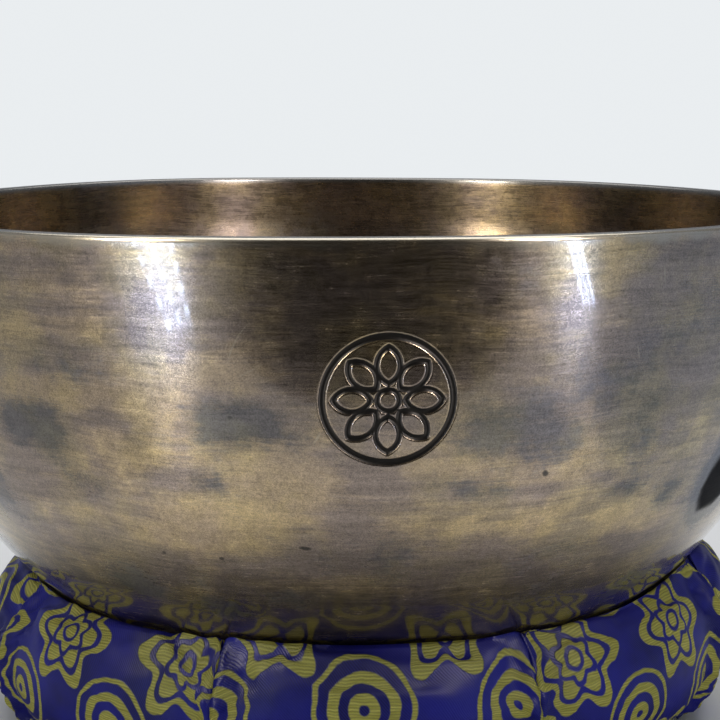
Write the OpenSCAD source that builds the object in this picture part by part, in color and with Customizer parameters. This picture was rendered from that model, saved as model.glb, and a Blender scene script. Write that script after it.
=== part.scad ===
// Singing bowl: a hand-hammered bronze bowl resting on a gored, stuffed ring cushion.
// Millimetres, +Z up. The origin is on the bowl's axis, on the surface that the cushion lies on.
// The engraved roundel faces -Y.

/* [Bowl] */
// Outer diameter across the lip
rim_d = 230; // [225:1:235]
// How far the wall leans outward towards the lip, in degrees
wall_lean = 5; // [3:0.5:6]
// Depth of the straight stretch of wall below the lip
wall_straight = 23; // [18:1:26]
// Radius of the upper curve, from the wall to the underside
shoulder_r = 103.5; // [100:0.5:106]
// Slope at which the upper curve ends, in degrees from vertical
shoulder_end = 50; // [48:1:52]
// Radius of the lower curve, from the underside to the bottom
turn_r = 52; // [50:1:54]
// Slope at which the lower curve meets the shallow bottom, in degrees from vertical
turn_end = 78; // [76:1:80]
// Thickness of the hammered wall
wall_t = 3; // [2.4:0.1:3.4]
// Thickness of the lip
lip_t = 4.6; // [4:0.1:5]
// Depth over which the wall thickens into the lip
lip_depth = 14; // [10:1:18]
// Rounding of the lip's two edges
lip_round = 0.9; // [0.5:0.1:1.2]
// Height of the bowl's lowest point above the surface
bowl_base_z = 17; // [17:0.5:20]

/* [Engraved roundel] */
// Outer diameter of the ring
roundel_d = 26; // [22:0.5:28]
// Depth of the roundel's centre below the lip
roundel_drop = 30.5; // [28:0.5:34]
// Width of each engraved line
groove_w = 1.3; // [1:0.1:1.5]
// Depth of each engraved line
groove_depth = 0.5; // [0.3:0.05:0.7]
// Number of petals in the rosette
petals = 8; // [6:1:10]

/* [Ring cushion] */
// Diameter of the circle along the middle of the stuffed ring
ring_d = 147; // [145:1:149]
// Diameter of the ring's stuffed cross-section
tube_d = 41.5; // [40:0.5:42]
// How much the ring's weight and the bowl's flatten its underside
base_flat = 3; // [2:0.5:4]
// Thickness of the brocade with its interlining
cover_t = 1.2; // [0.8:0.1:1.6]
// Length of one hand-sewn closing stitch
stitch_l = 5; // [4:0.5:6]
// Thickness of the closing thread
thread_d = 0.8; // [0.6:0.1:1]
// Number of closing stitches to each gore
stitches_per_gore = 6; // [4:1:7]

/* [Hidden] */

$fn = 96;

gores = 8;             // brocade gores sewn side by side into the cover, one node each
arc_step = 2;          // degrees between the points of a curved outline
seat_gap = 0.4;        // clearance between the bowl and the cover it presses into
stuffing_gap = 0.1;    // clearance between the stuffing and the cover
stitch_slant = 25;     // lean of a stitch across the closing seam, in degrees
closing_angle = 222;   // place of the closing seam round the cross-section, inside and underneath
reach = 200;           // longer than anything it cuts

// Corners of the bowl's outer outline, [radius, height below the lip], and the centres of its curves
wall_foot = [rim_d / 2 - wall_straight * tan(wall_lean), -wall_straight];
shoulder_centre = wall_foot - shoulder_r * [cos(wall_lean), -sin(wall_lean)];
shoulder_foot = shoulder_centre + shoulder_r * [cos(shoulder_end), -sin(shoulder_end)];
turn_centre = shoulder_foot - turn_r * [cos(shoulder_end), -sin(shoulder_end)];
turn_foot = turn_centre + turn_r * [cos(turn_end), -sin(turn_end)];
bottom_r = turn_foot[0] / cos(turn_end);
bottom_centre = [0, turn_foot[1] + bottom_r * sin(turn_end)];

bowl_depth = bottom_r - bottom_centre[1];
rim_z = bowl_base_z + bowl_depth;

tube_r = tube_d / 2;
tube_z = tube_r - base_flat;
gore_angle = 360 / gores;
first_seam = -90 - gore_angle / 2;    // gore 1 is centred on the front, below the roundel

// Points along a curve, from slope a to slope b, measured in degrees from vertical
function curve(centre, r, a, b) = [
    for (i = [0 : ceil((b - a) / arc_step)])
        let (t = min(a + i * arc_step, b))
        centre + r * [cos(t), -sin(t)]
];

// The bowl's outline from wall foot to axis, moved inward by t (outward when t is negative)
function body_curve(t) = concat(
    curve(shoulder_centre, shoulder_r - t, wall_lean, shoulder_end),
    curve(turn_centre, turn_r - t, shoulder_end, turn_end),
    curve(bottom_centre, bottom_r - t, turn_end, 90)
);

// A point on the straight stretch of wall: depth below the lip, and distance in from its outer face
function wall_point(depth, t) = [
    rim_d / 2 - depth * tan(wall_lean) - t / cos(wall_lean),
    -depth
];

// Outer outline closed along the axis, moved inward by t, with its top at height top above the lip
module bowl_outline(t, top) {
    polygon(concat([[0, top], wall_point(-top, t)], body_curve(t)));
}

// Cross-section of the wall, thickened and rounded at the lip
module bowl_section() {
    rounding = curve([0, 0], lip_round, -90, 0);
    outer_edge = [for (i = [len(rounding) - 1 : -1 : 0])
        wall_point(lip_round, lip_round) + rounding[i]];
    inner_edge = [for (p = rounding)
        wall_point(lip_round, lip_t - lip_round) + [-p[0], p[1]]];
    inside = body_curve(wall_t);
    polygon(concat(
        [for (i = [len(outer_edge) - 1 : -1 : 0]) outer_edge[i]],
        body_curve(0),
        [for (i = [len(inside) - 1 : -1 : 0]) inside[i]],
        [wall_point(lip_depth, wall_t)],
        [for (i = [len(inner_edge) - 1 : -1 : 0]) inner_edge[i]]
    ));
}

// A leaf shape of the given length and half width, pointing along +Y from the origin
module leaf(length, half_w) {
    r = (pow(length / 2, 2) + pow(half_w, 2)) / (2 * half_w);
    intersection() {
        translate([r - half_w, length / 2]) circle(r);
        translate([half_w - r, length / 2]) circle(r);
    }
}

// The lines of the roundel, seen from outside: a ring round a rosette of outlined petals
module roundel_lines() {
    outer_r = roundel_d / 2;
    hub_r = outer_r * 0.2;
    petal_l = outer_r - groove_w * 1.6 - hub_r;
    petal_w = petal_l * sin(180 / petals) * 0.86;
    difference() {
        circle(outer_r);
        circle(outer_r - groove_w);
    }
    difference() {
        circle(hub_r);
        circle(hub_r - groove_w * 0.8);
    }
    for (i = [0 : petals - 1])
        rotate(i * 360 / petals)
            translate([0, hub_r])
                difference() {
                    leaf(petal_l, petal_w);
                    translate([0, groove_w]) leaf(petal_l - 2 * groove_w, petal_w - groove_w * 0.8);
                }
}

// The thin layer of wall that the engraving removes, at the roundel
module roundel_cut() {
    intersection() {
        translate([0, 0, rim_z - roundel_drop])
            rotate([90, 0, 0])
                linear_extrude(reach) roundel_lines();
        translate([0, 0, rim_z])
            rotate_extrude()
                difference() {
                    bowl_outline(-1, 0);
                    bowl_outline(groove_depth, 0);
                }
    }
}

// Cross-section of the stuffed ring, shrunk by t all round, with the seat that the bowl presses into it
module ring_section(t) {
    difference() {
        translate([ring_d / 2, tube_z]) circle(tube_r - t);
        translate([0, t - reach]) square([reach, reach]);
        translate([0, rim_z]) bowl_outline(-seat_gap - t, 0);
    }
}

module bowl() {
    color("darkgoldenrod")
        difference() {
            translate([0, 0, rim_z]) rotate_extrude() bowl_section();
            roundel_cut();
        }
}

module cover_gore(number) {
    color("mediumblue")
        rotate(first_seam + (number - 1) * gore_angle)
            rotate_extrude(angle = gore_angle)
                difference() {
                    ring_section(0);
                    ring_section(cover_t);
                }
}

module stuffing_ring() {
    color("linen")
        rotate_extrude() ring_section(cover_t + stuffing_gap);
}

// Short slanted threads that close the cover along its inner underside
module closing_stitches() {
    outward = tube_r + thread_d / 2;
    seam_point = [ring_d / 2 + outward * cos(closing_angle), tube_z + outward * sin(closing_angle)];
    count = gores * stitches_per_gore;
    color("navy")
        for (i = [0 : count - 1])
            rotate(first_seam + (i + 0.5) * 360 / count)
                translate([seam_point[0], 0, seam_point[1]])
                    rotate([0, -closing_angle, 0])
                        rotate([stitch_slant, 0, 0])
                            cylinder(h = stitch_l, d = thread_d, center = true, $fn = 16);
}

bowl();
for (number = [1 : gores])
    cover_gore(number);
stuffing_ring();
closing_stitches();
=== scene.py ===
import math

import bpy
import numpy as np
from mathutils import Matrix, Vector


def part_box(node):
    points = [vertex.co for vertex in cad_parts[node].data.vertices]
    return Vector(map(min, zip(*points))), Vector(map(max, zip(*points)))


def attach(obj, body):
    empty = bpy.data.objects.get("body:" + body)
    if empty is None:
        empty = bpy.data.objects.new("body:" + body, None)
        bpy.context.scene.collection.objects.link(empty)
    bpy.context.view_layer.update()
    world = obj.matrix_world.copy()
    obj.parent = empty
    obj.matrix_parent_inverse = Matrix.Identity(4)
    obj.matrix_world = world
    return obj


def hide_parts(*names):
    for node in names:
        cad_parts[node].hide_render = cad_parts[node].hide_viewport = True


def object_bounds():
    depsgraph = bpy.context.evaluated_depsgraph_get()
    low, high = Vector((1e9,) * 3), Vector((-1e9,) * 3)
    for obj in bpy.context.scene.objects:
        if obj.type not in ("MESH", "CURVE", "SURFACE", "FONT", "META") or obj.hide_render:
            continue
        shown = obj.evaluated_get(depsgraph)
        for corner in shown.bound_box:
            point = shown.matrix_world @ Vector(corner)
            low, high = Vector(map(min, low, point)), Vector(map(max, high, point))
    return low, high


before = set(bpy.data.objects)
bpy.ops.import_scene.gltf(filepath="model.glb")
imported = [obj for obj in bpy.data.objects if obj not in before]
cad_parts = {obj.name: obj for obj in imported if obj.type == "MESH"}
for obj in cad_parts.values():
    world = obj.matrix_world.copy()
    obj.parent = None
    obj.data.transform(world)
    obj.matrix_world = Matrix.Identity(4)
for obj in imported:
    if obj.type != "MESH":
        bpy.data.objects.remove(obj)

# --- Sizes, in metres and degrees. Azimuth is measured round the bowl's axis from
# -Y, positive towards +X. Depth is measured down from the lip.
MM = 0.001
TAU = 2 * math.pi

CAD_LOW, CAD_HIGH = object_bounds()
LIP_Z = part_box("bowl")[1][2]
RIM_R = 115 * MM

# The bowl's section: a leaning wall, two curves and a shallow bottom
WALL_LEAN = math.radians(5)
WALL_STRAIGHT = 23 * MM
SHOULDER_R = 103.5 * MM
SHOULDER_END = math.radians(50)
TURN_R = 52 * MM
TURN_END = math.radians(78)
WALL_T = 3 * MM
LIP_T = 4.6 * MM
LIP_DEPTH = 14 * MM
LIP_ROUND = 0.9 * MM
# A row this far under the lip's edge keeps the wall's shading straight up to it
LIP_SUPPORT = 0.25 * MM
WALL_LENGTH = 175 * MM

# The engraved roundel
ROUNDEL_R = 13 * MM
ROUNDEL_DEPTH = 30.5 * MM
GROOVE_W = 1.3 * MM
GROOVE_DEPTH = 0.5 * MM
PETALS = 8

# The ring cushion
RING_R = 73.5 * MM
TUBE_R = 20.75 * MM
TUBE_Z = 17.75 * MM
COVER_T = 1.2 * MM
GORES = 8
CLOSING_ANGLE = math.radians(222)
STITCHES = 48

# The bowl's mesh: columns round the axis, and how finely the patch round the roundel is divided
COLUMNS = 360
ROW_STEP = 2 * MM
FINE = 8
PATCH = 15 * MM
# Millimetres along the wall for each degree of azimuth
MM_PER_DEGREE = 1.9


# --- Shader nodes
class Shader:
    """A material's node tree, built with one short call for each node."""

    def __init__(self, name):
        self.material = bpy.data.materials.new(name)
        self.material.use_nodes = True
        self.tree = self.material.node_tree
        self.tree.nodes.clear()
        self.surface = self.tree.nodes.new("ShaderNodeBsdfPrincipled")
        output = self.tree.nodes.new("ShaderNodeOutputMaterial")
        self.tree.links.new(self.surface.outputs[0], output.inputs["Surface"])

    def put(self, socket, value):
        """Sets a socket to a number or colour, or links another node's output to it."""
        if isinstance(value, bpy.types.NodeSocket):
            self.tree.links.new(value, socket)
        else:
            socket.default_value = value

    def node(self, kind, inputs=(), **settings):
        made = self.tree.nodes.new(kind)
        for key, value in settings.items():
            setattr(made, key, value)
        for key, value in dict(inputs).items():
            self.put(made.inputs[key], value)
        return made

    def math(self, operation, *values):
        made = self.tree.nodes.new("ShaderNodeMath")
        made.operation = operation
        for socket, value in zip(made.inputs, values):
            self.put(socket, value)
        return made.outputs[0]

    def times(self, a, b):
        return self.math("MULTIPLY", a, b)

    def minus(self, a, b):
        return self.math("SUBTRACT", a, b)

    def plus(self, *values):
        result = values[0]
        for value in values[1:]:
            result = self.math("ADD", result, value)
        return result

    def shifted(self, start, *noises):
        """A value moved either side by noises, each given with its full swing."""
        for noise, swing in noises:
            start = self.plus(start, self.times(self.minus(noise, 0.5), swing))
        return start

    def where(self):
        """Places on the piece, in its own coordinates."""
        return self.node("ShaderNodeTexCoord").outputs["Object"]

    def attribute(self, name):
        return self.node("ShaderNodeAttribute", attribute_name=name).outputs["Fac"]

    def vector(self, x, y, z=0.0):
        return self.node("ShaderNodeCombineXYZ", {"X": x, "Y": y, "Z": z}).outputs[0]

    def noise(self, vector, scale, detail=3.0, roughness=0.55):
        sockets = {"Vector": vector, "Scale": scale, "Detail": detail, "Roughness": roughness}
        return self.node("ShaderNodeTexNoise", sockets).outputs["Fac"]

    def span(self, value, low, high, to_low=0.0, to_high=1.0):
        """Smoothly maps low..high to to_low..to_high, and holds the ends."""
        names = ("Value", "From Min", "From Max", "To Min", "To Max")
        sockets = dict(zip(names, (value, low, high, to_low, to_high)))
        return self.node("ShaderNodeMapRange", sockets, interpolation_type="SMOOTHSTEP").outputs[0]

    def mix(self, factor, a, b, blend="MIX"):
        made = self.node("ShaderNodeMix", data_type="RGBA", blend_type=blend)
        self.put(made.inputs[0], factor)
        self.put(made.inputs[6], a)
        self.put(made.inputs[7], b)
        return made.outputs[2]

    def bump(self, height, distance, strength, under=None):
        sockets = {"Height": height, "Distance": distance, "Strength": strength}
        if under is not None:
            sockets["Normal"] = under
        return self.node("ShaderNodeBump", sockets).outputs[0]

    def finish(self, sockets):
        """Sets the surface's own sockets and gives the finished material."""
        for key, value in sockets.items():
            self.put(self.surface.inputs[key], value)
        return self.material


def rgb(red, green, blue):
    return (red, green, blue, 1.0)


# --- Meshes
def mesh_object(name, vertices, faces, material=None, smooth=True):
    mesh = bpy.data.meshes.new(name)
    mesh.from_pydata([tuple(v) for v in vertices], [], faces)
    mesh.update()
    mesh.polygons.foreach_set("use_smooth", [smooth] * len(mesh.polygons))
    made = bpy.data.objects.new(name, mesh)
    bpy.context.scene.collection.objects.link(made)
    if material is not None:
        mesh.materials.append(material)
    return made


def square(reach):
    return [(-reach, -reach, 0), (reach, -reach, 0), (reach, reach, 0), (-reach, reach, 0)]


def point_attribute(piece, name, values):
    layer = piece.data.attributes.new(name, "FLOAT", "POINT")
    layer.data.foreach_set("value", np.asarray(values, dtype=np.float32))


def smooth_step(low, high, value):
    t = np.clip((value - low) / (high - low), 0.0, 1.0)
    return t * t * (3 - 2 * t)


# --- The bowl's section
def arc(centre, radius, start, end, step):
    """Points on a curve whose slope from vertical runs from start to end."""
    count = max(2, math.ceil(abs(end - start) * radius / step))
    angles = np.linspace(start, end, count + 1)
    return [(centre[0] + radius * math.cos(t), centre[1] - radius * math.sin(t)) for t in angles]


def wall_outline(inset, step):
    """The wall's outline moved inward by inset, from just below the lip to the axis: (radius, -depth)."""
    slope = (math.cos(WALL_LEAN), -math.sin(WALL_LEAN))
    foot = (RIM_R - WALL_STRAIGHT * math.tan(WALL_LEAN), -WALL_STRAIGHT)
    shoulder = (foot[0] - SHOULDER_R * slope[0], foot[1] - SHOULDER_R * slope[1])
    reach = SHOULDER_R - TURN_R
    turn = (shoulder[0] + reach * math.cos(SHOULDER_END), shoulder[1] - reach * math.sin(SHOULDER_END))
    turn_foot = (turn[0] + TURN_R * math.cos(TURN_END), turn[1] - TURN_R * math.sin(TURN_END))
    bottom_r = turn_foot[0] / math.cos(TURN_END)
    bottom = (0.0, turn_foot[1] + bottom_r * math.sin(TURN_END))
    points = arc(shoulder, SHOULDER_R - inset, WALL_LEAN, SHOULDER_END, step)
    points += arc(turn, TURN_R - inset, SHOULDER_END, TURN_END, step)[1:]
    points += arc(bottom, bottom_r - inset, TURN_END, math.pi / 2, step)[1:]
    return points


def wall_point(depth, inset):
    return (RIM_R - depth * math.tan(WALL_LEAN) - inset / math.cos(WALL_LEAN), -depth)


def straight(start, end, step):
    count = max(1, round(math.dist(start, end) / step))
    return [tuple(np.array(start) + (np.array(end) - np.array(start)) * i / count) for i in range(count)]


def lip_curve(inset, side):
    """Points up one edge of the lip, whose centre is inset from the wall; side is 1 outside, -1 inside."""
    x, y = wall_point(LIP_ROUND, inset)
    slopes = np.radians(np.linspace(15, 90, 6))
    return [(x + side * LIP_ROUND * math.cos(t), y + LIP_ROUND * math.sin(t)) for t in slopes]


def bowl_section():
    """Rows of the bowl's mesh: up the outside from the bottom, over the lip and down the inside.

    Gives each row's place (radius, height above the lip), its outward normal, its distance along the
    wall from the lip, negative outside, and its side: 0 outside or 1 inside."""
    outer_wall = wall_outline(0, ROW_STEP)
    inner_wall = wall_outline(WALL_T, ROW_STEP)
    outside = [wall_point(LIP_ROUND, 0)]
    outside += straight(wall_point(LIP_ROUND + LIP_SUPPORT, 0), outer_wall[0], ROW_STEP) + outer_wall
    inside = straight(wall_point(LIP_ROUND, LIP_T), wall_point(LIP_DEPTH, WALL_T), ROW_STEP)
    inside += straight(wall_point(LIP_DEPTH, WALL_T), inner_wall[0], ROW_STEP) + inner_wall
    outside = outside[::-1] + lip_curve(LIP_ROUND, 1)
    inner_edge = lip_curve(LIP_T - LIP_ROUND, -1)[::-1]
    inside = straight(outside[-1], inner_edge[0], 0.7 * MM)[1:] + inner_edge + inside
    points = np.array(outside + inside)
    side = np.array([0.0] * len(outside) + [1.0] * len(inside))
    along = np.concatenate([[0], np.cumsum(np.hypot(*np.diff(points, axis=0).T))])
    along -= along[len(outside) - 1]
    tangent = np.gradient(points, axis=0)
    normal = np.stack([tangent[:, 1], -tangent[:, 0]], axis=1)
    normal /= np.linalg.norm(normal, axis=1)[:, None]
    normal[0] = (0, -1)
    normal[-1] = (0, 1)
    return points, normal, along, side


# --- Hammer marks. The real bowl is scraped and polished after it is hammered,
# so the high ground is bright and each hollow keeps its dark skin.
# The marks round the front:
# azimuth, distance along the wall from the lip, half width, half height (mm), darkness
FRONT_MARKS = [
    (-39, 42, 11, 7, 1.05),
    (-14.5, 36, 11.5, 5.5, 0.85),
    (-33, 26, 14, 5, 0.6),
    (-19, 50, 4, 3, 0.7),
    (-33, 52, 7, 3, 0.6),
    (-2, 66, 15, 7, 0.75),
    (10, 50, 13, 3, 0.7),
    (27, 55, 5, 3, 0.8),
    (35, 57, 4, 4, 0.8),
    (46, 58, 8.5, 9.5, 2.2),
    (14, 38, 13, 8, 0.75),
    (19, 70, 12, 5, 0.6),
    (28, 28, 18, 19, 0.55),
    (11, 7, 9, 5, 0.5),
    (-48, 62, 9, 6, 0.7),
    (-24, 74, 8, 4, 0.5),
]
# The brightest high ground round the front: as above
FRONT_GOLD = [
    (-33, 33, 17, 3, 1.0),
    (-19, 27, 9, 3, 0.6),
    (-31, 17, 10, 3, 0.5),
    (-11, 51, 12, 6, 0.9),
    (-20, 60, 12, 6, 1.0),
    (-14, 43, 10, 3, 0.6),
    (4, 57, 8, 5, 0.8),
    (19, 47, 24, 3, 0.9),
    (31, 61, 9, 4, 0.8),
    (-41, 61, 7, 4, 0.7),
    (16, 61, 9, 3, 0.6),
    (-27, 44, 9, 4, 0.6),
    (-24, 34, 8, 4, 0.9),
    (-6, 75, 12, 3, 0.5),
    (38, 44, 9, 4, 0.5),
]
# Bands of marks round the rest of the outside, and round the inside: distance along the wall from
# the lip, spacing, half width, half height (mm), darkness
OUTSIDE_BANDS = [
    (9, 34, 9, 4, 0.45),
    (26, 38, 12, 5, 0.6),
    (40, 36, 10, 6, 0.8),
    (54, 26, 6, 4, 0.7),
    (68, 30, 11, 6, 0.7),
    (84, 26, 9, 6, 0.8),
    (102, 22, 8, 6, 0.8),
    (120, 20, 7, 5, 0.7),
]
INSIDE_BANDS = [
    (22, 40, 13, 7, 0.7),
    (42, 34, 11, 7, 0.8),
    (62, 32, 11, 7, 0.7),
    (84, 28, 10, 7, 0.7),
    (106, 24, 9, 6, 0.7),
    (128, 20, 8, 6, 0.7),
]
# The front that the listed marks fill: half its width in degrees, and its depth along the wall (mm)
FRONT_HALF_WIDTH = 46
FRONT_DEPTH = 80


def band_marks(bands, seed, skip_front):
    """Marks at uneven steps round the bowl, in bands."""
    chance = np.random.default_rng(seed)
    marks = []
    for along, spacing, half_w, half_h, dark in bands:
        count = max(4, round(360 / (spacing / MM_PER_DEGREE)))
        for i in range(count):
            azimuth = -180 + (i + chance.uniform(0.15, 0.85)) * 360 / count
            size = chance.uniform(0.6, 1.3)
            drift = chance.uniform(-5, 5)
            strength = dark * chance.uniform(0.5, 1.2)
            if skip_front and abs(azimuth) < FRONT_HALF_WIDTH and along < FRONT_DEPTH:
                continue
            marks.append((azimuth, along + drift, half_w * size, half_h * size, strength))
    return marks


def uneven(azimuth, along, seed):
    """A smooth random shift, mostly within 1 either way, that closes up round the bowl."""
    chance = np.random.default_rng(seed)
    shift = np.zeros_like(azimuth)
    for turns, height in ((9, 60), (17, 34), (29, 22), (47, 15), (71, 10), (103, 7)):
        phase = chance.uniform(0, TAU, 2)
        bend = 2 * np.sin(along / (height * MM) * TAU + phase[1])
        shift += np.sin(np.radians(azimuth) * turns + phase[0] + bend) * turns**-0.5
    return shift


def mark_field(azimuth, along, radius, marks):
    """How deep in a hammer mark each point is: 0 on the high ground, about 1 in a hollow's middle."""
    field = np.zeros_like(azimuth)
    drift = 2.6 * uneven(azimuth, along, 21)
    sink = 1.7 * uneven(azimuth, along, 22)
    for mark_azimuth, mark_along, half_w, half_h, strength in marks:
        turn = (azimuth - mark_azimuth + 180) % 360 - 180
        across = (np.radians(turn) * np.maximum(radius, 20 * MM) / MM + drift) / half_w
        down = ((along / MM - mark_along) + sink) / half_h
        distance = np.sqrt(across**2 + down**2)
        field = np.maximum(field, strength * smooth_step(1.8, 0.3, distance))
    return field


def facet_height(azimuth, along, radius, seed, size, depth):
    """Shallow overlapping hollows left by the hammer, in rows round the bowl."""
    chance = np.random.default_rng(seed)
    height = np.zeros_like(azimuth)
    order = np.argsort(along)
    for row in np.arange(size / 2, WALL_LENGTH, size * 0.8):
        row_r = np.interp(row, along[order], radius[order])
        count = max(3, round(TAU * row_r / (size * 0.95)))
        near = np.abs(along - row) < size
        angles = np.radians(azimuth[near])
        local = np.zeros(near.sum())
        for i in range(count):
            centre = TAU * (i + chance.uniform(-0.25, 0.25)) / count
            reach = size * chance.uniform(0.6, 0.95)
            turn = (angles - centre + math.pi) % TAU - math.pi
            down = along[near] - row - chance.uniform(-0.2, 0.2) * size
            d2 = ((turn * np.maximum(radius[near], 8 * MM)) ** 2 + down**2) / reach**2
            local -= chance.uniform(0.5, 1.0) * depth * np.clip(1 - d2, 0, 1) ** 2
        height[near] += local
    return height


# --- The engraving: a ring round an outlined rosette, as distance inside a line
def leaf_distance(x, y, start, length, half_w):
    """Signed distance to a leaf that points along +Y, negative inside."""
    radius = ((length / 2) ** 2 + half_w**2) / (2 * half_w)
    middle = y - start - length / 2
    left = np.hypot(x - (radius - half_w), middle) - radius
    right = np.hypot(x + (radius - half_w), middle) - radius
    return np.maximum(left, right)


def line_distance(x, y):
    """Distance outside the nearest engraved line, negative inside it."""
    thin = GROOVE_W * 0.8
    hub_r = ROUNDEL_R * 0.2
    leaf_l = ROUNDEL_R - GROOVE_W * 1.6 - hub_r
    leaf_w = leaf_l * math.sin(math.pi / PETALS) * 0.86
    r = np.hypot(x, y)
    nearest = np.abs(r - (ROUNDEL_R - GROOVE_W / 2)) - GROOVE_W / 2
    nearest = np.minimum(nearest, np.abs(r - (hub_r - thin / 2)) - thin / 2)
    sector = TAU / PETALS
    turn = np.arctan2(x, y)
    turn -= np.round(turn / sector) * sector
    leaf_x, leaf_y = r * np.sin(turn), r * np.cos(turn)
    outer = leaf_distance(leaf_x, leaf_y, hub_r, leaf_l, leaf_w)
    inner = leaf_distance(leaf_x, leaf_y, hub_r + GROOVE_W, leaf_l - 2 * GROOVE_W, leaf_w - thin)
    return np.minimum(nearest, np.maximum(outer, -inner))


def engraving(azimuth, radius, height):
    """Depth of the engraving and how dark its floor is, at points on the outside of the wall."""
    x = radius * np.sin(np.radians(azimuth))
    y = height + ROUNDEL_DEPTH
    front = np.abs(azimuth) < 45
    distance = np.where(front, line_distance(x, y), 1.0)
    cut = smooth_step(0.12 * MM, -0.32 * MM, distance)
    burr = np.exp(-((distance - 0.22 * MM) / (0.2 * MM)) ** 2) * front
    return GROOVE_DEPTH * cut - 0.02 * MM * burr, cut


# --- The bowl's mesh
def bowl_grid(along):
    """Places (row, column) and faces of the bowl's mesh, with a finely divided patch round the roundel."""
    rows = len(along)
    low = int(np.argmin(np.abs(along + ROUNDEL_DEPTH + PATCH)))
    high = int(np.argmin(np.abs(along + ROUNDEL_DEPTH - PATCH)))
    half = math.ceil(PATCH / (TAU * RIM_R / COLUMNS))
    keys = {}
    places = []

    def vertex(row, column):
        """The vertex at a row and column, both counted in fine steps. Each pole is one vertex."""
        column %= COLUMNS * FINE
        if row <= 0 or row >= (rows - 1) * FINE:
            column = 0
        if (row, column) not in keys:
            keys[row, column] = len(places)
            places.append((row / FINE, column / FINE))
        return keys[row, column]

    faces = []
    for row in range(low * FINE, high * FINE):
        for column in range(-half * FINE, half * FINE):
            corners = [(row, column), (row, column + 1), (row + 1, column + 1), (row + 1, column)]
            faces.append([vertex(*corner) for corner in corners])
    patch_keys = dict(keys)
    # A coarse face takes in the fine vertices on any edge that it shares with the patch
    for row in range(rows - 1):
        for column in range(-COLUMNS // 2, COLUMNS // 2):
            if low <= row < high and -half <= column < half:
                continue
            face = []
            for a, b in (((0, 0), (0, 1)), ((0, 1), (1, 1)), ((1, 1), (1, 0)), ((1, 0), (0, 0))):
                for step in range(FINE):
                    r = (row + a[0]) * FINE + (b[0] - a[0]) * step
                    c = (column + a[1]) * FINE + (b[1] - a[1]) * step
                    if step == 0 or (r, c % (COLUMNS * FINE)) in patch_keys:
                        face.append(vertex(r, c))
            faces.append(list(dict.fromkeys(face)))
    return np.array(places), faces


def make_bowl(material):
    points, normals, along, side = bowl_section()
    places, faces = bowl_grid(along)
    rows = np.column_stack([points, normals, along, side])
    at_rows = [np.interp(places[:, 0], np.arange(len(rows)), values) for values in rows.T]
    radius, height, normal_r, normal_z, run, inside = at_rows
    inside = inside > 0.5
    azimuth = (places[:, 1] / COLUMNS * 360 + 180) % 360 - 180

    outside_marks = FRONT_MARKS + band_marks(OUTSIDE_BANDS, 5, True)
    inside_marks = band_marks(INSIDE_BANDS, 8, False)
    distance = np.abs(run)
    outer_field = mark_field(azimuth, distance, radius, outside_marks)
    inner_field = mark_field(azimuth, distance, radius, inside_marks)
    patina = np.where(inside, inner_field, outer_field)
    golden = np.where(inside, 0, mark_field(azimuth, distance, radius, FRONT_GOLD))
    facets = np.where(
        inside,
        facet_height(azimuth, distance, radius, 3, 22 * MM, 0.30 * MM),
        facet_height(azimuth, distance, radius, 4, 17 * MM, 0.12 * MM),
    )
    hollow = -0.10 * MM * patina
    # The relief fades out towards the lip, where the wall was worked smoother
    from_lip = 0.03 + 0.97 * smooth_step(22 * MM, 62 * MM, distance)
    from_lip *= smooth_step(2 * MM, 12 * MM, distance)
    cut, groove = engraving(azimuth, radius, height)
    cut = np.where(inside, 0, cut)
    groove = np.where(inside, 0, groove)
    around = np.radians(azimuth)
    from_roundel = np.hypot(radius * around, height + ROUNDEL_DEPTH)
    quiet = 1 - 0.7 * smooth_step(20 * MM, 12 * MM, from_roundel)
    shift = (facets + hollow) * from_lip * np.where(inside, 1, quiet) - cut
    unround = 0.35 * np.cos(2 * around + 0.6) + 0.22 * np.cos(3 * around - 1.1) + 0.1 * np.cos(7 * around)
    sway = 0.25 * np.cos(2 * around - 0.8) + 0.16 * np.cos(5 * around + 0.4)
    r = radius + normal_r * shift + (unround - 0.5) * MM * smooth_step(110 * MM, 30 * MM, distance)
    z = LIP_Z + height + normal_z * shift + (sway - 0.45) * MM * smooth_step(45 * MM, 0, distance)
    vertices = np.stack([r * np.sin(around), -r * np.cos(around), z], axis=1)
    made = mesh_object("hammered_bowl", vertices, faces, material)
    fields = {"patina": patina, "golden": golden, "groove": groove, "inside": inside}
    fields |= {"along": run / MM, "azimuth": azimuth}
    for field, values in fields.items():
        point_attribute(made, field, values)
    return made


# --- The ring cushion. Its surface is a grid: columns round the bowl's axis, and
# rows round the tube, which start and end at the closing seam underneath.
GORE_COLUMNS = 24
TUBE_ROWS = 72
SEAM_DIP = 2.6 * MM
SEAM_WIDTH = 4.5 * MM
CROWN = 0.9 * MM
START_INSET = 1.0 * MM
SEAT_GAP = 0.5 * MM
# The cloth simulation: its frames, and the most that it may move a point
CLOTH_STEPS = 20
MOST_MOVE = 6 * MM
# Where the stuffing is fuller: azimuth, half width in degrees, extra height
FULLER = [(78, 34, 10.5 * MM), (-80, 36, 2.5 * MM), (0, 70, 7.0 * MM), (160, 30, 1.6 * MM)]
# How much wider than deep the ring lies
OVAL = 4.0 * MM


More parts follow.
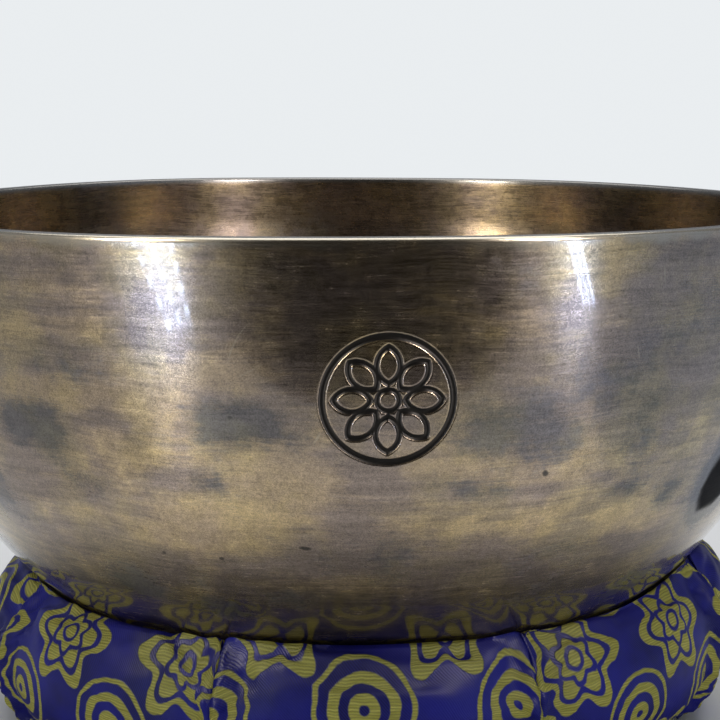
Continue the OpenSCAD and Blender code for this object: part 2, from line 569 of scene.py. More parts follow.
def clear_of_bowl(points, gap):
    """Moves points that lie in or against the bowl out to gap from its outer surface."""
    outline = np.array(wall_outline(0, 0.4 * MM)) + (0, LIP_Z)
    tangent = np.gradient(outline, axis=0)
    outward = np.stack([-tangent[:, 1], tangent[:, 0]], axis=1)
    outward /= np.linalg.norm(outward, axis=1)[:, None]
    around = np.arctan2(points[:, 1], points[:, 0])
    section = np.stack([np.hypot(points[:, 0], points[:, 1]), points[:, 2]], axis=1)
    for part in np.array_split(np.arange(len(points)), max(1, len(points) // 4000)):
        away = section[part, None] - outline[None]
        nearest = np.argmin((away**2).sum(axis=2), axis=1)
        height = ((section[part] - outline[nearest]) * outward[nearest]).sum(axis=1)
        lift = np.maximum(gap - height, 0)
        section[part] += outward[nearest] * lift[:, None]
    return np.stack([section[:, 0] * np.cos(around), section[:, 0] * np.sin(around), section[:, 1]], axis=1)


def settled(points):
    """Keeps the cushion off the bowl and on the surface that it lies on."""
    points = clear_of_bowl(points, SEAT_GAP)
    points[:, 2] = np.maximum(points[:, 2], CAD_LOW[2])
    return points


def cushion_grid(columns, rows):
    """The azimuth and tube angle of every point, and how near it is to a seam between gores, in metres."""
    azimuth, angle = np.meshgrid(
        np.arange(columns) * 360 / columns - 180 / GORES,
        CLOSING_ANGLE + np.arange(rows) * TAU / rows,
        indexing="ij",
    )
    gore_angle = 360 / GORES
    to_seam = np.abs((azimuth + 180 / GORES + gore_angle / 2) % gore_angle - gore_angle / 2)
    seam = np.radians(to_seam) * (RING_R + TUBE_R * np.cos(angle))
    return azimuth.ravel(), angle.ravel(), seam.ravel()


def ring_line(azimuth):
    """The tube's centre line: an oval, as the cushion lies wider than it is deep."""
    around = np.radians(azimuth)
    reach = RING_R + OVAL * np.sin(around) ** 2
    return np.stack([reach * np.sin(around), -reach * np.cos(around), np.full_like(around, TUBE_Z)], axis=1)


def stuffed_tube(azimuth, angle, seam):
    """The cushion before it is pressed: a tube drawn in along its seams, fuller in places."""
    up = np.clip(np.sin(angle), 0, 1)
    size = TUBE_R - START_INSET - SEAM_DIP * np.exp(-((seam / SEAM_WIDTH) ** 2))
    size = size + CROWN * smooth_step(4 * MM, 20 * MM, seam)
    for middle, half_w, extra in FULLER:
        turn = (azimuth - middle + 180) % 360 - 180
        size = size + extra * smooth_step(1.0, 0.0, np.abs(turn) / half_w) * (0.25 + 0.75 * up)
    around = np.radians(azimuth)
    out = np.stack([np.sin(around), -np.cos(around), np.zeros_like(around)], axis=1)
    away = out * np.cos(angle)[:, None] + (0, 0, 1) * np.sin(angle)[:, None]
    return ring_line(azimuth) + away * size[:, None]


def grid_faces(columns, rows, close_columns, close_rows):
    faces = []
    for i in range(columns if close_columns else columns - 1):
        for j in range(rows if close_rows else rows - 1):
            a, b = (i + 1) % columns, (j + 1) % rows
            faces.append([i * rows + j, a * rows + j, a * rows + b, i * rows + b])
    return faces


def collider(name, vertices, faces):
    made = mesh_object(name, vertices, faces)
    made.modifiers.new("collision", "COLLISION")
    made.collision.thickness_outer = 0.001
    made.collision.cloth_friction = 20
    return made


def inflate(points, faces, pinned):
    """Fills a closed cloth tube with pressure against the bowl and the table: its settled points."""
    cloth_piece = mesh_object("cloth_tube", points, faces)
    group = cloth_piece.vertex_groups.new(name="seams")
    group.add([int(i) for i in np.nonzero(pinned)[0]], 1.0, "ADD")
    profile = np.array(wall_outline(0, 3 * MM))
    turns = np.linspace(0, TAU, 96, endpoint=False)
    bowl_points = [(r * math.cos(t), r * math.sin(t), LIP_Z + z) for t in turns for r, z in profile]
    press = collider("press", bowl_points, grid_faces(len(turns), len(profile), True, False))
    table = collider("table", square(1), [[0, 1, 2, 3]])
    table.location.z = CAD_LOW[2] - 1 * MM

    cloth = cloth_piece.modifiers.new("cloth", "CLOTH")
    settings = {
        "quality": 6,
        "mass": 0.2,
        "tension_stiffness": 25,
        "compression_stiffness": 25,
        "shear_stiffness": 8,
        "bending_stiffness": 0.15,
        "use_pressure": True,
        "uniform_pressure_force": 4,
        "shrink_min": -0.045,
        "vertex_group_mass": "seams",
    }
    for setting, value in settings.items():
        setattr(cloth.settings, setting, value)
    cloth.settings.effector_weights.gravity = 0
    cloth.collision_settings.distance_min = 0.001
    scene = bpy.context.scene
    for step in range(1, CLOTH_STEPS + 1):
        scene.frame_set(step)
    shape = cloth_piece.evaluated_get(bpy.context.evaluated_depsgraph_get()).data
    settled_at = np.empty(len(points) * 3)
    shape.vertices.foreach_get("co", settled_at)
    scene.frame_set(1)
    for used in (cloth_piece, press, table):
        bpy.data.objects.remove(used, do_unlink=True)
    return settled_at.reshape(-1, 3)


def finer(field, columns, rows):
    """Doubles a closed grid of points, with each new point on a smooth curve between its neighbours."""
    field = field.reshape(columns, rows, -1)
    for axis in (0, 1):
        before, after = np.roll(field, 1, axis), np.roll(field, -1, axis)
        beyond = np.roll(field, -2, axis)
        middle = (9 * (field + after) - before - beyond) / 16
        field = np.stack([field, middle], axis=axis + 1)
        shape = list(field.shape)
        shape[axis : axis + 2] = [shape[axis] * 2]
        field = field.reshape(shape)
    return field


def cushion_surface():
    """The cushion's outer surface as a closed grid of points, columns by rows."""
    columns, rows = GORES * GORE_COLUMNS, TUBE_ROWS
    azimuth, angle, seam = cushion_grid(columns, rows)
    start = settled(stuffed_tube(azimuth, angle, seam))
    shape = start
    moved = inflate(start, grid_faces(columns, rows, True, True), seam < 0.5 * MM) - start
    length = np.linalg.norm(moved, axis=1)[:, None]
    shape = start + moved * np.minimum(1, MOST_MOVE / np.maximum(length, 1e-9))
    surface = finer(shape, columns, rows)
    columns, rows = surface.shape[:2]
    azimuth, angle, seam = cushion_grid(columns, rows)
    flat = surface.reshape(-1, 3)
    outward = flat - ring_line(azimuth)
    outward /= np.linalg.norm(outward, axis=1)[:, None]
    gather = np.sin(angle * 26 + 3 * np.sin(azimuth * 2.1)) * np.exp(-seam / (5 * MM)) * 0.35 * MM
    dip = 1.3 * MM * np.exp(-((seam / (1.1 * MM)) ** 2))
    flat = settled(flat + outward * (gather - dip)[:, None])
    return flat.reshape(columns, rows, 3)


def inward(surface):
    """Directions from a closed grid of points towards the tube's centre line, and the distances."""
    columns = surface.shape[0]
    centre = ring_line(np.arange(columns) * 360 / columns - 180 / GORES)
    way = centre[:, None] - surface
    distance = np.linalg.norm(way, axis=2)[..., None]
    return way / distance, distance


def neighbours(field):
    """A closed grid and its four copies moved by one place."""
    return [field] + [np.roll(field, step, axis) for axis in (0, 1) for step in (-1, 1)]


def grid_normals(surface):
    """Outward normals of a closed grid of points."""
    around = np.roll(surface, -1, 0) - np.roll(surface, 1, 0)
    along = np.roll(surface, -1, 1) - np.roll(surface, 1, 1)
    normal = np.cross(around, along)
    return normal / np.linalg.norm(normal, axis=2)[..., None]


def make_gore(number, surface, material):
    """One gore of the cover: a strip of brocade that runs once round the tube, with its thickness."""
    columns, rows = surface.shape[:2]
    width = columns // GORES
    start = (number - 1) * width
    across = [(start + i) % columns for i in range(width + 1)]
    around = [j % rows for j in range(rows + 1)]
    outer = surface[np.ix_(across, around)]
    inner = outer + inward(surface)[0][np.ix_(across, around)] * COVER_T
    wide, high = width + 1, rows + 1
    count = wide * high
    faces = grid_faces(wide, high, False, False)
    faces += [[count + i for i in face[::-1]] for face in faces]
    edge = [i * high for i in range(wide)] + [(wide - 1) * high + j for j in range(1, high)]
    edge += [i * high + high - 1 for i in range(wide - 2, -1, -1)] + list(range(high - 2, 0, -1))
    for a, b in zip(edge, edge[1:] + edge[:1]):
        faces.append([b, a, count + a, count + b])
    points = np.concatenate([outer, inner]).reshape(-1, 3)
    made = mesh_object(f"brocade_gore_{number}", points, faces, material)
    step_round = TAU * TUBE_R / rows / MM
    step_across = TAU * RING_R / columns / MM
    turn = np.arange(wide) - width / 2
    reach = 1 + TUBE_R / RING_R * np.cos(CLOSING_ANGLE + np.arange(high) * TAU / rows)
    cloth_x = (turn[:, None] * step_across * reach[None]).ravel()
    cloth_y = np.tile(np.arange(high) * step_round, wide)
    point_attribute(made, "cloth_x", np.tile(cloth_x + number * 37, 2))
    point_attribute(made, "cloth_y", np.tile(cloth_y + number * 11, 2))
    node = f"cover_gore_{number}"
    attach(made, "cushion")
    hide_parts(node)


def make_stuffing(surface, material):
    """The ring of cotton wadding inside the cover: it bridges the creases at the seams."""
    columns, rows = surface.shape[:2]
    way, distance = inward(surface)
    inside = distance
    for _ in range(3):
        inside = np.min(neighbours(inside), axis=0)
    for _ in range(3):
        inside = np.mean(neighbours(inside), axis=0)
    chance = np.random.default_rng(12)
    lumps = chance.normal(0, 1, (columns // 8, rows // 8, 1))
    for _ in range(3):
        lumps = finer(lumps, *lumps.shape[:2])
    inset = COVER_T + 0.6 * MM + np.clip(0.25 + 0.2 * lumps, 0, 1) * MM
    points = (surface + way * (distance - inside + inset)).reshape(-1, 3)
    made = mesh_object("wadding_ring", points, grid_faces(columns, rows, True, True), material)
    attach(made, "cushion")
    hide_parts("stuffing_ring")


def tube_mesh(paths, radius, sides=8):
    """Vertices and faces of round threads along paths, with closed ends."""
    vertices, faces = [], []
    for path in paths:
        base = len(vertices)
        for i, point in enumerate(path):
            ahead = np.array(path[min(i + 1, len(path) - 1)]) - np.array(path[max(i - 1, 0)])
            ahead /= np.linalg.norm(ahead)
            side = np.cross(ahead, (0.3, 0.2, 0.93))
            side /= np.linalg.norm(side)
            up = np.cross(side, ahead)
            for k in range(sides):
                t = TAU * k / sides
                vertices.append(point + radius * (side * math.cos(t) + up * math.sin(t)))
        for i in range(len(path) - 1):
            for k in range(sides):
                a, b = base + i * sides, base + (i + 1) * sides
                faces.append([a + k, a + (k + 1) % sides, b + (k + 1) % sides, b + k])
        faces.append([base + k for k in range(sides)][::-1])
        faces.append([base + (len(path) - 1) * sides + k for k in range(sides)])
    return vertices, faces


def make_stitches(surface, normals, material):
    """Slanted stitches that draw the two ends of each gore together underneath."""
    columns = surface.shape[0]
    slant = math.radians(25)
    half = 2.5 * MM
    paths = []
    for i in range(STITCHES):
        place = (i + 0.5) * columns / STITCHES
        column = int(place)
        middle = (surface[column, 0] + surface[(column + 1) % columns, 0]) / 2
        normal = normals[column, 0]
        around = surface[(column + 1) % columns, 0] - surface[column, 0]
        around /= np.linalg.norm(around)
        across = np.cross(normal, around)
        way = across * math.cos(slant) + around * math.sin(slant)
        path = []
        for t in np.linspace(-1, 1, 9):
            path.append(middle + way * half * t + normal * (0.45 - 0.9 * t**4) * MM)
        paths.append(path)
    made = mesh_object("hand_stitches", *tube_mesh(paths, 0.4 * MM), material)
    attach(made, "cushion")
    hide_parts("closing_stitches")


# --- Materials
# Dark pits, fine bright scratches and a painted reflection of the table on the front: azimuth, distance
# along the wall from the lip, length, width (mm), tilt in degrees, bend (1/mm), strength
PITS = [
    (-8.6, 64.4, 2.6, 1.0, 8, 0.0, 0.85),
    (-18.5, 68.3, 1.3, 0.9, 0, 0.0, 0.8),
    (-25.7, 68.2, 1.0, 0.8, 0, 0.0, 0.7),
    (-15.3, 34.9, 0.9, 0.7, 0, 0.0, 0.6),
    (16.9, 48.1, 1.6, 1.3, 50, 0.0, 0.9),
]
SCRATCHES_AND_REFLECTION = [
    (-14.4, 19.9, 9.0, 0.3, -62, 0.03, 0.5),
    (-13.0, 25.5, 6.0, 0.25, -30, -0.02, 0.35),
    (-6.8, 38.7, 2.2, 0.5, -60, 0.0, 0.5),
    # A painted reflection of the table, drawn as a light line low on the left
    (-41.5, 73.9, 11.0, 0.9, 38, 0.01, 0.45),
    (26.0, 24.0, 3.0, 0.3, 75, 0.0, 0.35),
    (28.5, 9.0, 5.0, 0.3, 80, 0.0, 0.35),
]


def bronze():
    """Brushed and hammered bronze: gold high ground, grey-blue hollows, black engraving."""
    s = Shader("bronze")
    where = s.where()
    axes = s.node("ShaderNodeSeparateXYZ", {"Vector": where}).outputs
    flat = s.vector(axes["X"], axes["Y"])
    around = s.node("ShaderNodeVectorMath", {0: flat}, operation="NORMALIZE").outputs[0]
    way = s.node("ShaderNodeSeparateXYZ", {"Vector": around}).outputs
    along = s.attribute("along")
    level = s.math("MULTIPLY_ADD", s.noise(where, 30.0, 1.0), 5.0, along)

    def lines(length, width, seed):
        """Noise drawn out round the bowl: length and width of its streaks in millimetres."""
        reach = RIM_R / MM / length
        x = s.times(way["X"], reach)
        y = s.math("MULTIPLY_ADD", way["Y"], reach, seed)
        z = s.times(level, 1 / width)
        return s.noise(s.vector(x, y, z), 1.0, 2.0, 0.6)

    hair = lines(6, 0.30, 3.0)
    brush = lines(14, 0.8, 51.0)
    scrape = lines(40, 1.7, 17.0)
    sweep = lines(24, 7.0, 31.0)
    cloud = s.noise(where, 42.0, 4.0, 0.6)
    blotch = s.noise(where, 105.0, 3.0, 0.55)
    grain = s.noise(where, 300.0, 4.0, 0.65)
    speck = s.noise(where, 1100.0, 2.0, 0.6)
    dust = s.noise(where, 3400.0, 1.0, 0.5)

    def scratch(azimuth, distance, length, width, tilt, bend, strength):
        """How far each place is in a short bent line on the front."""
        x = s.times(s.minus(s.attribute("azimuth"), azimuth), MM_PER_DEGREE)
        y = s.minus(s.times(along, -1.0), distance)
        turn = math.radians(tilt)
        u = s.math("MULTIPLY_ADD", x, math.cos(turn), s.times(y, math.sin(turn)))
        v = s.math("MULTIPLY_ADD", x, -math.sin(turn), s.times(y, math.cos(turn)))
        v = s.math("MULTIPLY_ADD", s.times(u, u), -bend, v)
        u = s.times(u, 2 / length)
        v = s.times(v, 2 / width)
        far = s.plus(s.times(u, u), s.times(v, v))
        return s.span(s.shifted(far, (speck, 0.8)), 0.2, 1.6, strength, 0.0)

    inner = s.span(s.attribute("inside"), 0.4, 0.6)
    patina = s.attribute("patina")
    hollow = s.shifted(patina, (cloud, 1.7), (blotch, 1.5), (grain, 0.9), (brush, 0.8))
    hollow = s.span(hollow, 0.24, 1.0)
    black = s.span(s.shifted(patina, (blotch, 0.4)), 1.25, 1.8)
    golden = s.plus(s.attribute("golden"), 0.22)
    bright = s.shifted(golden, (sweep, 2.2), (cloud, 1.8), (blotch, 1.8), (brush, 1.0))
    bright = s.span(bright, 0.05, 0.95)

    gold = s.mix(s.span(grain, 0.35, 0.7), rgb(0.465, 0.378, 0.243), rgb(0.55, 0.448, 0.278))
    dull = s.mix(s.span(scrape, 0.3, 0.7), rgb(0.30, 0.255, 0.20), rgb(0.37, 0.315, 0.25))
    skin = s.mix(s.span(blotch, 0.35, 0.65), rgb(0.118, 0.118, 0.115), rgb(0.165, 0.160, 0.150))
    colour = s.mix(hollow, s.mix(bright, dull, gold), skin)
    colour = s.mix(black, colour, rgb(0.006, 0.006, 0.006))
    colour = s.mix(s.times(inner, 0.65), colour, rgb(0.092, 0.074, 0.057))
    warmth = s.span(s.noise(where, 60.0, 4.0, 0.6), 0.38, 0.62)
    tint = s.mix(warmth, rgb(1.11, 1.05, 0.87), rgb(0.93, 0.88, 0.93))
    colour = s.mix(1.0, colour, tint, "MULTIPLY")

    # Brush marks and polish make the metal lighter and darker, and the metal is made lighter from 30 to 58
    # mm down the wall and darker towards the bottom
    lightness = s.shifted(1.0, (hair, 0.55), (brush, 0.35), (scrape, 0.25), (speck, 0.6))
    lightness = s.shifted(lightness, (dust, 1.2), (grain, 0.45), (blotch, 0.3))
    down = s.math("ABSOLUTE", along)
    lightness = s.times(lightness, s.span(down, 30.0, 58.0, 1.0, 1.22))
    lightness = s.times(lightness, s.span(down, 74.0, 92.0, 1.0, 0.62))
    colour = s.mix(1.0, colour, s.vector(lightness, lightness, lightness), "MULTIPLY")

    # Just under the lip's outer edge the metal is worn bright and also carries a painted highlight, and the
    # lip's top is plain grey
    rim_wear_and_highlight = s.span(s.shifted(down, (blotch, 4.0), (grain, 3.0)), 0.6, 3.0, 0.8, 0.0)
    colour = s.mix(s.times(rim_wear_and_highlight, s.minus(1.0, inner)), colour, rgb(0.50, 0.455, 0.36))
    top = s.span(down, 4.2, 5.2, 1.0, 0.0)
    colour = s.mix(s.times(top, inner), colour, rgb(0.22, 0.212, 0.20))
    # Paints the dark pits and the bright scratches, with the painted reflection of the table among them
    for kind, tint in ((PITS, rgb(0.03, 0.028, 0.026)), (SCRATCHES_AND_REFLECTION, rgb(0.62, 0.54, 0.40))):
        for mark in kind:
            colour = s.mix(scratch(*mark), colour, tint)
    cut = s.span(s.attribute("groove"), 0.03, 0.35)
    colour = s.mix(cut, colour, rgb(0.046, 0.043, 0.040))

    rough = s.shifted(s.plus(0.235, s.times(hollow, 0.09)), (hair, 0.16), (grain, 0.12))
    rough = s.plus(rough, s.times(cut, 0.3), s.times(black, 0.35), s.times(inner, 0.04))
    bump = s.bump(hair, 0.02 * MM, 0.28)
    bump = s.bump(scrape, 0.03 * MM, 0.25, bump)
    bump = s.bump(grain, 0.03 * MM, 0.3, bump)
    bare = s.span(s.math("MAXIMUM", black, cut), 0.0, 0.7, 1.0, 0.0)
    coat = s.times(bare, s.math("MULTIPLY_ADD", inner, -0.88, 1.0))
    return s.finish({
        "Base Color": colour,
        "Metallic": 1.0,
        "Roughness": rough,
        "Normal": bump,
        "Anisotropic": 0.75,
        "Anisotropic Rotation": 0.25,
        "Tangent": s.node("ShaderNodeTangent", direction_type="RADIAL", axis="Z").outputs[0],
        "Coat Weight": coat,
        "Coat Roughness": 0.05,
    })


def brocade():
    """Royal-blue satin with woven yellow-gold flowers and ripples; sizes in millimetres."""
    s = Shader("brocade")
    repeat = 34.0
    x, y = s.attribute("cloth_x"), s.attribute("cloth_y")
    where = s.where()
    wobble = s.noise(where, 260.0, 2.0)
    x, y = s.shifted(x, (wobble, 0.9)), s.shifted(y, (wobble, -0.9))

    def in_cell(value, offset):
        """Distance from the middle of the repeat that a place is in."""
        turns = s.math("DIVIDE", s.plus(value, offset), repeat)
        return s.times(s.minus(s.math("FRACT", turns), 0.5), repeat)

    def polar(a, b):
        length = s.math("SQRT", s.plus(s.times(a, a), s.times(b, b)))
        return length, s.math("ARCTAN2", b, a)

    def beside_line(off, half_w):
        """0 on a line and 1 beside it, for a place that is off from the line's middle."""
        return s.span(s.math("ABSOLUTE", off), half_w - 0.22, half_w + 0.22)

    r, angle = polar(in_cell(x, 0.0), in_cell(y, 0.0))

    def petalled(size, depth, turn=0.0):
        """The radius of a six-petalled outline at each place's angle."""
        wave = s.math("COSINE", s.math("MULTIPLY_ADD", angle, 6.0, turn))
        return s.math("MULTIPLY_ADD", wave, depth, size)

    flower = s.span(s.minus(r, petalled(10.6, 2.2)), -0.25, 0.25, 1.0, 0.0)
    for radius, half_w in ((petalled(7.6, 1.5), 0.75), (petalled(4.4, 0.7, math.pi), 0.6), (1.9, 0.45)):
        flower = s.math("MINIMUM", flower, beside_line(s.minus(r, radius), half_w))
    corner_r, _ = polar(in_cell(x, repeat / 2), in_cell(y, repeat / 2))
    ripple = s.math("PINGPONG", corner_r, 2.1)
    ripples = s.times(s.span(ripple, 0.85, 1.25), s.span(corner_r, 10.3, 10.7, 1.0, 0.0))
    motif = s.math("MAXIMUM", flower, ripples)

    weft = s.math("SINE", s.times(y, TAU / 0.55))
    twill = s.math("SINE", s.times(s.plus(x, y), TAU / 0.62))
    slub = s.noise(s.vector(s.times(x, 0.12), s.times(y, 1.8)), 1.0, 3.0)
    # The blue is lighter in some patches and darker in others: a painted satin sheen
    shade = s.noise(where, 60.0, 3.0)
    blue = s.mix(s.span(shade, 0.3, 0.7), rgb(0.006, 0.007, 0.09), rgb(0.012, 0.014, 0.32))
    gold = s.mix(s.span(slub, 0.3, 0.7), rgb(0.47, 0.45, 0.07), rgb(0.72, 0.69, 0.15))
    blue = s.mix(s.math("MULTIPLY_ADD", twill, 0.18, 0.2), blue, rgb(0.025, 0.028, 0.42))
    gold = s.mix(s.math("MULTIPLY_ADD", weft, 0.22, 0.24), gold, rgb(0.17, 0.15, 0.04))
    colour = s.mix(motif, blue, gold)
    threads = s.plus(s.times(motif, weft), s.times(twill, 0.35))
    bump = s.bump(threads, 0.06 * MM, 0.6)
    bump = s.bump(motif, 0.22 * MM, 0.7, bump)
    return s.finish({
        "Base Color": colour,
        "Roughness": s.span(motif, 0.0, 1.0, 0.40, 0.52),
        "Normal": bump,
        "Specular IOR Level": 0.2,
    })


def wadding():
    """Off-white cotton wadding with loose fibres."""
    s = Shader("wadding")
    where = s.where()
    fibres = s.noise(where, 700.0, 5.0, 0.7)
    tufts = s.noise(where, 90.0, 4.0)
    colour = s.mix(s.span(tufts, 0.3, 0.7), rgb(0.66, 0.60, 0.48), rgb(0.82, 0.78, 0.68))
    colour = s.mix(s.span(fibres, 0.55, 0.75, 0.0, 0.4), colour, rgb(0.90, 0.88, 0.82))
    bump = s.bump(fibres, 0.4 * MM, 0.8, s.bump(tufts, 1.0 * MM, 0.6))
    return s.finish({"Base Color": colour, "Roughness": 0.95, "Normal": bump, "Sheen Weight": 0.5})


def thread():
    """Waxed navy thread, two strands twisted together."""
    s = Shader("thread")
    where = s.where()
    twist = s.node("ShaderNodeTexWave", {"Vector": where, "Scale": 420.0, "Distortion": 2.0}).outputs["Fac"]
    colour = s.mix(twist, rgb(0.012, 0.014, 0.07), rgb(0.04, 0.05, 0.17))
    return s.finish({"Base Color": colour, "Roughness": 0.55, "Normal": s.bump(twist, 0.1 * MM, 0.8)})


def floor_material():
    s = Shader("studio_floor")
    where = s.where()
    haze = s.noise(where, 2.0, 2.0)
    colour = s.mix(haze, rgb(0.90, 0.91, 0.92), rgb(0.93, 0.935, 0.94))
    return s.finish({"Base Color": colour, "Roughness": 0.6})


# --- Studio
FLOOR_Z = CAD_LOW[2]
CAMERA_DISTANCE = 3.5 * RIM_R
CAMERA_RISE = 0.2161 * RIM_R
CAMERA_AZIMUTH = -3.4
CAMERA_PITCH = 9.32
CAMERA_TURN = 0.28
# The lamps that the wall mirrors: how far off and how high, and their azimuths
PANEL_DISTANCE = 0.387
PANEL_LOW = 0.022
PANEL_HIGH = 0.078
LAMPS_LEFT = -37.3
LAMPS_RIGHT = 41.7
COOL = (0.58, 0.70, 1.0)


def bearings(azimuth):
    """The directions outwards at an azimuth, and sideways across it to the right."""
    angle = math.radians(azimuth)
    return Vector((math.sin(angle), -math.cos(angle), 0)), Vector((math.cos(angle), math.sin(angle), 0))


def upward(height):
    return Vector((0, 0, height))


def make_camera():
    data = bpy.data.cameras.new("camera")
    data.lens = 79.93
    data.sensor_width = 36
    data.clip_start = 0.01
    data.clip_end = 50
    camera = bpy.data.objects.new("camera", data)
    bpy.context.scene.collection.objects.link(camera)
    camera.location = bearings(CAMERA_AZIMUTH)[0] * CAMERA_DISTANCE + upward(LIP_Z + CAMERA_RISE)
    camera.rotation_euler = (math.radians(90 - CAMERA_PITCH), 0, math.radians(CAMERA_AZIMUTH - CAMERA_TURN))
    bpy.context.scene.camera = camera


def make_overhead_light():
    data = bpy.data.lights.new("overhead", "AREA")
    data.shape = "RECTANGLE"
    data.size = data.size_y = 1.4
    data.energy = 12.0
    made = bpy.data.objects.new("overhead", data)
    bpy.context.scene.collection.objects.link(made)
    made.location = (0, 0.35, 1.3)
    made.rotation_euler = (-made.location).to_track_quat("-Z", "Y").to_euler()


def reflected(name, corners, faces, sockets, fade=None):
    """A piece of the studio that only reflections see.

    fade is how far off its middle each corner is, from 0 to 1 either way, the place where the piece
    starts to thin out, and how solid it is before that."""
    s = Shader(name)
    if fade is not None:
        off_middle, start, solid = fade
        off = s.math("ABSOLUTE", s.attribute("off_middle"))
        sockets = sockets | {"Alpha": s.span(off, start, 1.0, solid, 0.0)}
    piece = mesh_object(name, corners, faces, s.finish(sockets), False)
    if fade is not None:
        point_attribute(piece, "off_middle", off_middle)
    piece.visible_camera = False
    piece.visible_shadow = False
    piece.visible_diffuse = False


def paint(colour):
    return {"Base Color": rgb(*colour), "Roughness": 0.9}


def glow(colour, strength):
    return {"Base Color": rgb(0, 0, 0), "Emission Color": rgb(*colour), "Emission Strength": strength}


def card(name, azimuth, near, far, height, widths, colour, fade):
    """A plain card that lies on the floor from near to far and then stands upright.

    widths are its width at near and at far; fade is the share of each half that thins out sideways."""
    out, side = bearings(azimuth)
    foot = upward(FLOOR_Z + 0.001)
    steps = np.linspace(-1, 1, 9)
    corners = []
    for line, width in (
        (out * near + foot, widths[0]),
        (out * far + foot, widths[1]),
        (out * far + upward(height), widths[1]),
    ):
        corners += [line + side * width / 2 * step for step in steps]
    faces = grid_faces(3, len(steps), False, False)
    reflected(name, corners, faces, paint(colour), (np.tile(steps, 3), 1 - fade, 1.0))


def shade_ring(inner, outer, depth):
    """The shade on the floor under the wall, which fades outwards from a share of depth."""
    turns = np.linspace(0, TAU, 96, endpoint=False)
    z = FLOOR_Z + 0.0005
    corners = [(r * math.cos(t), r * math.sin(t), z) for t in turns for r in (inner, outer)]
    faces = grid_faces(len(turns), 2, True, False)
    fade = (np.tile([0.0, 1.0], len(turns)), 0.0, depth)
    reflected("shade_ring", corners, faces, paint((0.03, 0.03, 0.033)), fade)


def panel(name, azimuth, nearer, outlines, strength, colour=COOL):
    """Upright glowing shapes: each outline is four (across, height) pairs.

    nearer is how far in front of the farthest panels they stand, in millimetres."""
    out, side = bearings(azimuth)
    middle = out * (PANEL_DISTANCE - nearer * MM)
    corners = [middle + side * across + upward(height) for outline in outlines for across, height in outline]
    faces = [[4 * i, 4 * i + 1, 4 * i + 2, 4 * i + 3] for i in range(len(outlines))]
    reflected(name, corners, faces, glow(colour, strength))


def floor_glow(name, azimuth, near, far, width, strength):
    """The sheen of a row of lamps in the floor."""
    out, side = bearings(azimuth)
    lift = upward(FLOOR_Z + 0.0015)
    places = ((near, -1), (near, 1), (far, 1), (far, -1))
    corners = [out * reach + side * way * width / 2 + lift for reach, way in places]
    reflected(name, corners, [[0, 1, 2, 3]], glow((1.0, 0.97, 0.92), strength))


def slanted(across, width, slope, low, high):
    """A four-sided strip from one height to another, whose middle moves across as it rises."""
    outline = []
    for height, way in ((low, -1), (low, 1), (high, 1), (high, -1)):
        middle = across + slope * (height - PANEL_LOW)
        outline.append((middle + way * width / 2, height))
    return outline


def make_floor():
    floor = mesh_object("floor", square(1.9), [[0, 1, 2, 3]], floor_material(), False)
    floor.location.z = FLOOR_Z - 0.0002


def make_world():
    """A pale backdrop for the camera, and a dimmer, bluer room for everything else."""
    world = bpy.data.worlds.new("studio")
    bpy.context.scene.world = world
    bpy.context.scene.view_settings.view_transform = "Standard"
    world.use_nodes = True
    nodes, links = world.node_tree.nodes, world.node_tree.links
    backdrop = nodes["Background"]
    room = nodes.new("ShaderNodeBackground")
    for surround, colour, strength in ((backdrop, (0.82, 0.85, 0.87), 1.0), (room, (0.9, 0.94, 1.0), 0.27)):
        surround.inputs["Color"].default_value = rgb(*colour)
        surround.inputs["Strength"].default_value = strength
    path = nodes.new("ShaderNodeLightPath")
    mix = nodes.new("ShaderNodeMixShader")
    links.new(path.outputs["Is Camera Ray"], mix.inputs[0])
    links.new(room.outputs[0], mix.inputs[1])
    links.new(backdrop.outputs[0], mix.inputs[2])
    links.new(mix.outputs[0], nodes["World Output"].inputs["Surface"])


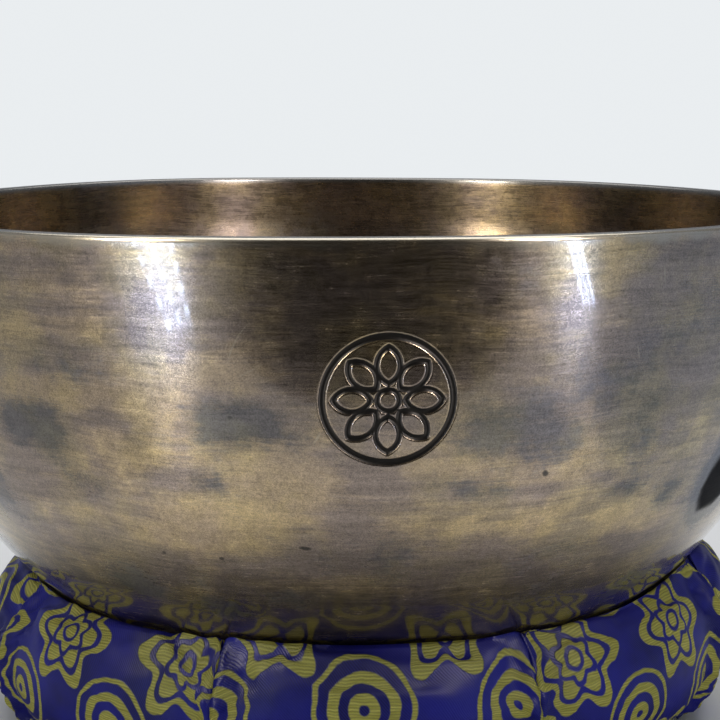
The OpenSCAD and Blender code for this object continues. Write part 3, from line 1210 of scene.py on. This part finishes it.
def make_reflections():
    card("dark_card", 0.5, 0.268, 0.39, 0.75, (0.16, 0.53), (0.024, 0.020, 0.015), 0.3)
    for side, azimuth, upright, lying in (
        ("right", 72, (0.55, 0.62, 0.74), (0.60, 0.66, 0.76)),
        ("left", -75, (0.60, 0.60, 0.61), (0.60, 0.60, 0.60)),
    ):
        card(f"{side}_card", azimuth, 0.33, 0.60, 0.60, (0.36, 0.36), upright, 0.2)
        card(f"{side}_floor", azimuth, 0.15, 0.33, 0.002, (0.26, 0.36), lying, 0.2)
    floor_glow("left_sheen", LAMPS_LEFT, 0.2, 0.37, 0.035, 0.95)
    floor_glow("right_sheen", LAMPS_RIGHT, 0.2, 0.37, 0.03, 0.85)
    shade_ring(0.088, 0.145, 0.92)

    # A slanted lattice of small lamps on the left, three thin tubes on the right
    lamps = []
    for column, (foot, slope) in enumerate(((-0.013, -1.25), (0.003, -1.05), (0.015, -0.62))):
        for row in range(7):
            low = PANEL_LOW + (row + 0.33 * column) * 0.0082
            lamps.append(slanted(foot, 0.0055, slope, low, low + 0.0040))
    panel("lamps_left", LAMPS_LEFT, 4, lamps, 30)
    panel("veil_left", LAMPS_LEFT, 2, [slanted(0.0, 0.036, -0.9, PANEL_LOW, PANEL_HIGH)], 6)
    tubes = [slanted(foot, 0.0022, -1.25, PANEL_LOW + 0.012, PANEL_HIGH) for foot in (0.0225, 0.030, 0.0375)]
    panel("tubes_right", LAMPS_RIGHT, 4, tubes, 46)
    panel("veil_right", LAMPS_RIGHT, 2, [slanted(0.030, 0.018, -1.25, PANEL_LOW + 0.010, PANEL_HIGH)], 4)
    # Broad soft glows: below the lip outside, and on the far wall inside
    panel("glow_left", LAMPS_LEFT, 0, [slanted(-0.03, 0.09, -0.5, 0.0, 0.12)], 0.9)
    panel("glow_right", LAMPS_RIGHT, 0, [slanted(0.0, 0.05, 0.0, 0.0, 0.12)], 0.6)
    panel("upper_left", LAMPS_LEFT, 0, [slanted(-0.085, 0.06, 0.0, 0.22, 0.42)], 58, (1.0, 0.92, 0.80))
    panel("upper_right", LAMPS_RIGHT, 0, [slanted(-0.03, 0.055, 0.0, 0.22, 0.42)], 50, (1.0, 0.92, 0.88))


# --- Making everything
make_camera()
bowl = make_bowl(bronze())
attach(bowl, "bowl")
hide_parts("bowl")

cushion = cushion_surface()
brocade_cloth = brocade()
for gore_number in range(1, GORES + 1):
    make_gore(gore_number, cushion, brocade_cloth)
make_stuffing(cushion, wadding())
make_stitches(cushion, grid_normals(cushion), thread())

make_floor()
make_world()
make_overhead_light()
make_reflections()
